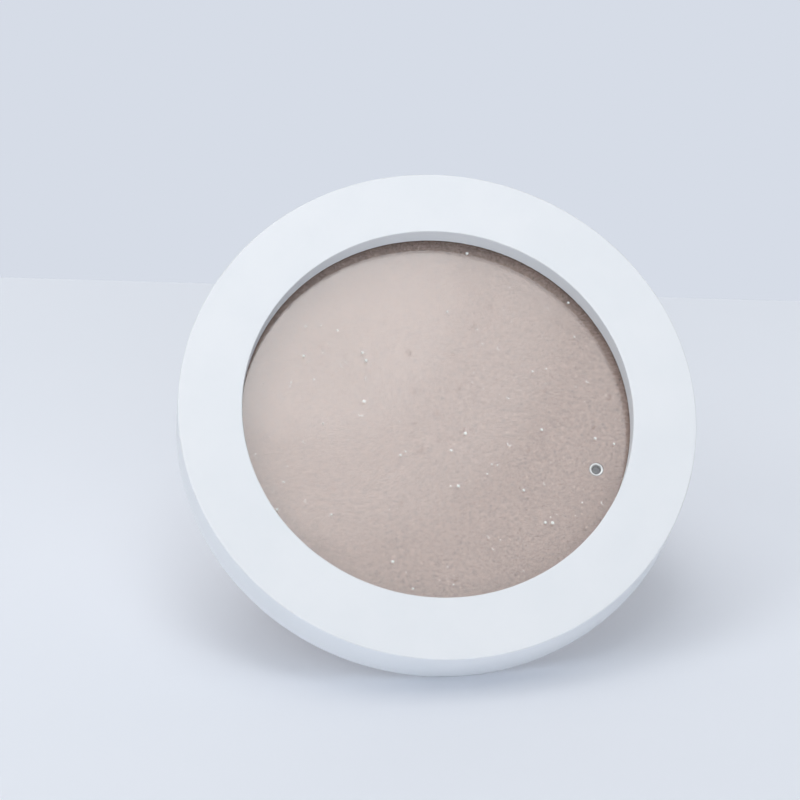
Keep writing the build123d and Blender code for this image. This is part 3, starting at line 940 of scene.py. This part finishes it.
# %% [markdown]
# ## Specks on the sheet
#
# The clear sheet isn't quite clean: pale grains of dust and a few tiny curls of lint lie on it. They are
# far too small to need detail, but raised grains catch the light, which spots of colour would not. A
# grain is a spun quarter circle with a flat bottom, a little dome. The places are drawn at random, but
# always with the same seed, so that every run scatters them alike.

# %% Scatter dust and lint
grain_count, largest_grain = 90, 0.62 * mm
curl_count = 16
dust_seed = 11
clean_margin = 2 * mm
draw = np.random.default_rng(dust_seed)
down = np.linspace(0, math.pi / 2, 4)
dome = lathe([*zip(np.sin(down), np.cos(down)), (0, 0)], segments=9)


def scattered(count):
    """Random places on the open part of the sheet: radius R sqrt(u), so that they lie evenly."""
    radius = (sight_radius - clean_margin) * np.sqrt(draw.uniform(0, 1, count))
    angle = draw.uniform(0, 2 * math.pi, count)
    return np.column_stack([radius * np.cos(angle), radius * np.sin(angle), np.full(count, lip_back)])


def curl_grid(radius, start, sweep, thickness):
    """A thread lying along an arc: its round section shrinks to nothing at both ends."""
    along = np.linspace(0, 1, 12)[None, :]
    turn = np.linspace(0, 2 * math.pi, 6, endpoint=False)[:, None]
    thick = thickness * np.sin(math.pi * along) ** 0.5
    reach = radius + thick * np.cos(turn)
    angle = start + sweep * along + 0 * turn
    return np.stack([reach * np.cos(angle), reach * np.sin(angle), thick * (np.sin(turn) + 1)], axis=-1)


sizes = draw.uniform(0.6, 1.0, grain_count) ** 3 * largest_grain
spots = scattered(grain_count)
grids = [to_table(spot + dome * [size, size, size / 2]) for spot, size in zip(spots, sizes)]
curl_ranges = ((0.6 * mm, 0.95 * mm), (1.6, 2.8), (2.4, 3.6), (0.11 * mm, 0.16 * mm))
for spot in scattered(curl_count):
    grids.append(to_table(spot + curl_grid(*[draw.uniform(*span) for span in curl_ranges])))


def matt_finish(name, size, layers, spread, tones, roughness):
    """A matt surface whose colour drifts between two tones."""
    material, tree, place = start_finish(name)
    drift = use_group(tree, fine_grain, Place=place, Size=size, Layers=layers)
    colour = blend_colours(tree, ranged(tree, drift, 0.5 - spread, 0.5 + spread), *tones)
    show(tree, Base_Color=colour, Roughness=roughness)
    return material


dust_tones = (0.82, 0.82, 0.80, 1), (0.95, 0.95, 0.93, 1)
dust = matt_finish("dust", size=6 * mm, layers=1.0, spread=0.1, tones=dust_tones, roughness=0.7)
add_piece(mesh_from_grids("dust_and_lint", grids), dust, "frame", "white_paint")

# %% [markdown]
# ## The table and the wall's colour
#
# The frame stands on a plain pale table whose back edge crosses the picture behind it, with a slightly
# darker wall beyond. The table is one big pale plane that ends at that line. The wall needs no surface:
# it is the world's colour, which the camera sees, and which metal and clear plastic reflect.

# %% Lay the table
table_tones = (0.825, 0.86, 0.925, 1), (0.84, 0.872, 0.935, 1)
table_back = 283 * mm
table_back_turn = math.radians(-4.45)
table_reach = 4000 * mm
edge_way = camera_right.copy()
edge_way.rotate(Matrix.Rotation(table_back_turn, 3, "Z"))
edge_side = Vector((edge_way.y, -edge_way.x, 0))
line_point = Vector((0, table_back, 0))
corners = [line_point + edge_way * (side * table_reach) + edge_side * depth
           for side, depth in ((-1, 0), (-1, table_reach), (1, table_reach), (1, 0))]
table_mesh = bpy.data.meshes.new("table")
table_mesh.from_pydata(corners, [], [(0, 1, 2, 3)])
table_mesh.materials.append(
    matt_finish("table", size=160 * mm, layers=2.0, spread=0.2, tones=table_tones, roughness=0.8))
table = bpy.data.objects.new("table", table_mesh)
scene.collection.objects.link(table)
print("table ends behind the frame at, mm:", round(table_back / mm))

# %% [markdown]
# ## Light
#
# In the photograph the light is soft and comes from everywhere, but not evenly. A bright patch overhead
# lies as a pale veil on the sheet and fades to the lower right. A broad lamp above and one on the left
# carry the face, and the room glows low in front and behind, which lights the ring's thickness and opens
# its shadow. The veil's patch is brightest in its middle, so it is four discs of growing size, one over
# the other. The glow is in the world, whose colour the camera, metal and clear plastic see as the wall.

# %% Hang the soft lamps
def hang_lamp(name, place, radius, radiance, lift=0.0):
    """A round lamp that looks at the middle of the face. Power is radiance times pi times its area."""
    way = (Vector(place) - Vector(middle)).normalized()
    lamp_data = bpy.data.lights.new(name, "AREA")
    lamp_data.shape = "DISK"
    lamp_data.size = 2 * radius
    lamp_data.energy = radiance * math.pi * math.pi * radius ** 2
    lamp = bpy.data.objects.new(name, lamp_data)
    lamp.rotation_mode = "QUATERNION"
    lamp.rotation_quaternion = way.to_track_quat("Z", "Y")
    lamp.location = Vector(place) + way * lift
    lamp.visible_camera = False
    scene.collection.objects.link(lamp)


veil_place = (95 * mm, -465 * mm, 1400 * mm)
veil_radii = [105 * mm, 180 * mm, 265 * mm, 345 * mm]
veil_radiance = 0.975
for number, radius in enumerate(veil_radii):
    hang_lamp("veil_%d" % number, veil_place, radius, veil_radiance, number * 5 * mm)
hang_lamp("overhead", (-200 * mm, 200 * mm, 1400 * mm), radius=500 * mm, radiance=1.6)
hang_lamp("left", (-900 * mm, -300 * mm, 1100 * mm), radius=400 * mm, radiance=1.18)
print("lamps:", [light.name for light in bpy.data.lights])

# %% Let the room glow
fill_colour = (0.93, 0.955, 0.985, 1)
wall_colour = (0.672, 0.716, 0.799, 1)
fill_all_round = 0.22
# each glow: its direction, the cosine at which it begins, its strength in the middle
fill_glows = [((0, -1, 0), 0.7, 2.4), ((-0.8, -0.6, 0), 0.6, 0.5), ((0, 0.98, 0.2), 0.0, 0.94)]
world = bpy.data.worlds.new("room")
world.use_nodes = True
room = world.node_tree
room.nodes.clear()
path = room.nodes.new("ShaderNodeLightPath").outputs
seen = calculate(room, "MAXIMUM", path["Is Camera Ray"], path["Is Glossy Ray"])
seen = calculate(room, "MAXIMUM", seen, path["Is Transmission Ray"])
looking = add_node(room, "ShaderNodeTexCoord").outputs["Generated"]
strength = fill_all_round
for way, begins, glow in fill_glows:
    facing = add_node(room, "ShaderNodeVectorMath", {"operation": "DOT_PRODUCT"}, s0=looking, s1=way)
    patch = add_node(room, "ShaderNodeMapRange", {"interpolation_type": "SMOOTHSTEP"},
                     s0=facing.outputs["Value"], s1=begins, s2=1.0, s3=0.0, s4=glow)
    strength = calculate(room, "ADD", patch.outputs[0], strength)
fill = add_node(room, "ShaderNodeBackground", Color=fill_colour, Strength=strength)
wall = add_node(room, "ShaderNodeBackground", Color=wall_colour, Strength=1.0)
mixed = add_node(room, "ShaderNodeMixShader", s0=seen, s1=fill.outputs[0], s2=wall.outputs[0])
room.links.new(mixed.outputs[0], room.nodes.new("ShaderNodeOutputWorld").inputs[0])
scene.world = world
scene.view_settings.view_transform = "Standard"
print("the room glows from", len(fill_glows), "sides")
